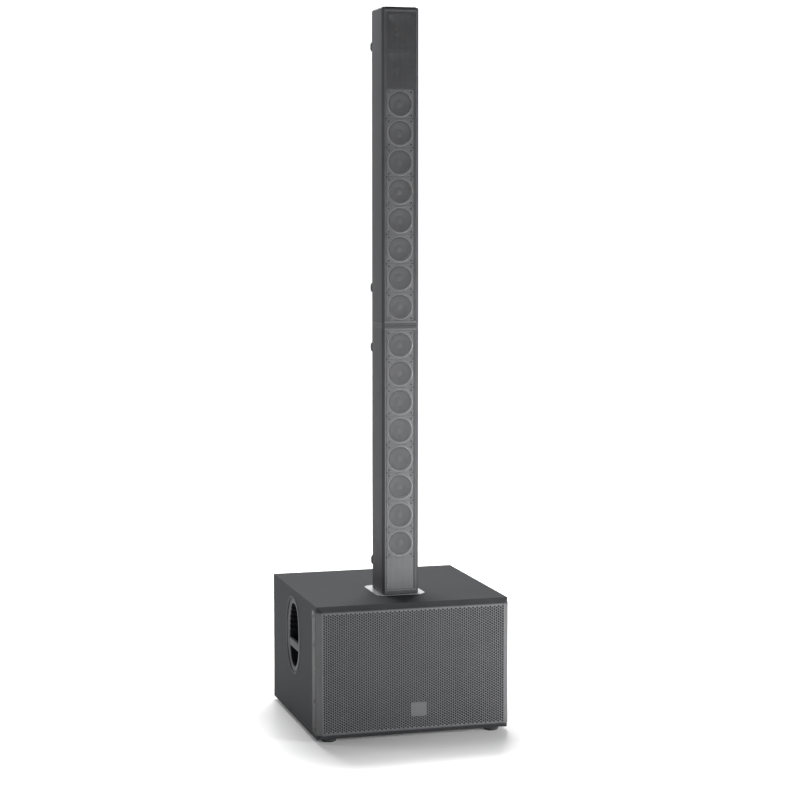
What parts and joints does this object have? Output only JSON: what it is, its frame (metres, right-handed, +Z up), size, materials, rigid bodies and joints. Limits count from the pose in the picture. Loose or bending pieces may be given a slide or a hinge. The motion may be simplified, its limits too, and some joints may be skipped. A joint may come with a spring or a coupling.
{
  "type": "column loudspeaker system",
  "caption": "Wide subwoofer cabinet with a perforated steel front, carrying a tall slim line-array column in two stacked modules on a docking plate.",
  "frame": {"origin": "on the floor, under the centre of the subwoofer cabinet's footprint", "axes": "+Z up along the column, -Y towards the listener (the grilles face -Y), +X to the right seen from the front"},
  "size_m": [0.65, 0.65, 2.367],
  "materials": {
    "cabinet_paint": "plywood with black textured paint, satin",
    "plywood": "bare birch ply, stained inside",
    "grille_steel": "powder-coated perforated steel",
    "column_coat": "fine powder coat",
    "moulding": "moulded plastic, lightly grained",
    "socket_plastic": "moulded nylon",
    "control_plastic": "moulded plastic, satin",
    "driver_frame": "light grey coated frame",
    "cone": "pressed cone with rubber surround",
    "panel_steel": "fine powder coat",
    "heat_sink_alloy": "black anodised",
    "docking_alloy": "brushed and clear anodised",
    "badge_alloy": "satin blank badge",
    "rubber": "moulded rubber",
    "circuit": "circuit board laminate"
  },
  "bodies": {
    "subwoofer": {"sub_cabinet": "cabinet_paint", "sub_baffle": "plywood", "port_shelf": "plywood", "sub_grille": "grille_steel", "badge": "badge_alloy", "docking_plate": "docking_alloy", "docking_socket": "moulding", "handle_right": "moulding", "handle_left": "moulding", "sub_woofer_left": "driver_frame", "sub_woofer_right": "driver_frame", "foot_front_left": "rubber", "foot_front_right": "rubber", "foot_rear_left": "rubber", "foot_rear_right": "rubber", "amp_panel": "panel_steel", "heat_sink": "heat_sink_alloy", "circuit_board": "circuit", "input_jack_left": "socket_plastic", "input_jack_right": "socket_plastic", "link_socket": "socket_plastic", "mains_inlet": "socket_plastic"},
    "sub_cones": {"sub_cone_left": "cone", "sub_cone_right": "cone"},
    "power_rocker": {"power_rocker": "control_plastic"},
    "main_level_knob": {"main_level_knob": "control_plastic"},
    "sub_level_knob": {"sub_level_knob": "control_plastic"},
    "ground_lift_button": {"ground_lift_button": "control_plastic"},
    "jack_release_left": {"jack_release_left": "control_plastic"},
    "jack_release_right": {"jack_release_right": "control_plastic"},
    "lower_column": {"lower_housing": "column_coat", "lower_grille": "grille_steel", "lower_bottom_cap": "moulding", "lower_plug": "moulding", "lower_woofer_frames": "driver_frame", "lower_top_cap": "moulding"},
    "lower_cones": {"lower_cone_1": "cone", "lower_cone_2": "cone", "lower_cone_3": "cone", "lower_cone_4": "cone", "lower_cone_5": "cone", "lower_cone_6": "cone", "lower_cone_7": "cone", "lower_cone_8": "cone"},
    "upper_column": {"upper_housing": "column_coat", "upper_grille": "grille_steel", "upper_bottom_cap": "moulding", "upper_plug": "moulding", "upper_woofer_frames": "driver_frame", "upper_top_cap": "moulding", "tweeter_horn_1": "moulding", "tweeter_horn_2": "moulding"},
    "upper_cones": {"upper_cone_1": "cone", "upper_cone_2": "cone", "upper_cone_3": "cone", "upper_cone_4": "cone", "upper_cone_5": "cone", "upper_cone_6": "cone", "upper_cone_7": "cone", "upper_cone_8": "cone"}
  },
  "joints": [
    {"name": "lower_column_lift", "type": "slide", "parent": "subwoofer", "child": "lower_column", "axis": [0, 0, 1], "range_m": [0, 0.08]},
    {"name": "upper_column_lift", "type": "slide", "parent": "lower_column", "child": "upper_column", "axis": [0, 0, 1], "range_m": [0, 0.08]},
    {"name": "sub_cone_travel", "type": "slide", "parent": "subwoofer", "child": "sub_cones", "axis": [0, -1, 0], "range_m": [-0.008, 0.008], "stiffness_N_per_m": 5000},
    {"name": "lower_cone_travel", "type": "slide", "parent": "lower_column", "child": "lower_cones", "axis": [0, -1, 0], "range_m": [-0.0015, 0.0015], "stiffness_N_per_m": 8000},
    {"name": "upper_cone_travel", "type": "slide", "parent": "upper_column", "child": "upper_cones", "axis": [0, -1, 0], "range_m": [-0.0015, 0.0015], "stiffness_N_per_m": 8000},
    {"name": "power_rocker_tilt", "type": "hinge", "parent": "subwoofer", "child": "power_rocker", "pos_m": [-0.1, 0.3087, 0.11], "axis": [1, 0, 0], "range_deg": [0, 16]},
    {"name": "main_level_turn", "type": "hinge", "parent": "subwoofer", "child": "main_level_knob", "pos_m": [-0.03, 0.317, 0.345], "axis": [0, 1, 0], "range_deg": [-150, 150]},
    {"name": "sub_level_turn", "type": "hinge", "parent": "subwoofer", "child": "sub_level_knob", "pos_m": [-0.075, 0.317, 0.345], "axis": [0, 1, 0], "range_deg": [-150, 150]},
    {"name": "ground_lift_press", "type": "slide", "parent": "subwoofer", "child": "ground_lift_button", "axis": [0, -1, 0], "range_m": [0, 0.0025], "stiffness_N_per_m": 400},
    {"name": "jack_release_left_press", "type": "slide", "parent": "subwoofer", "child": "jack_release_left", "axis": [0, -1, 0], "range_m": [0, 0.0015], "stiffness_N_per_m": 600},
    {"name": "jack_release_right_press", "type": "slide", "parent": "subwoofer", "child": "jack_release_right", "axis": [0, -1, 0], "range_m": [0, 0.0015], "stiffness_N_per_m": 600}
  ]
}
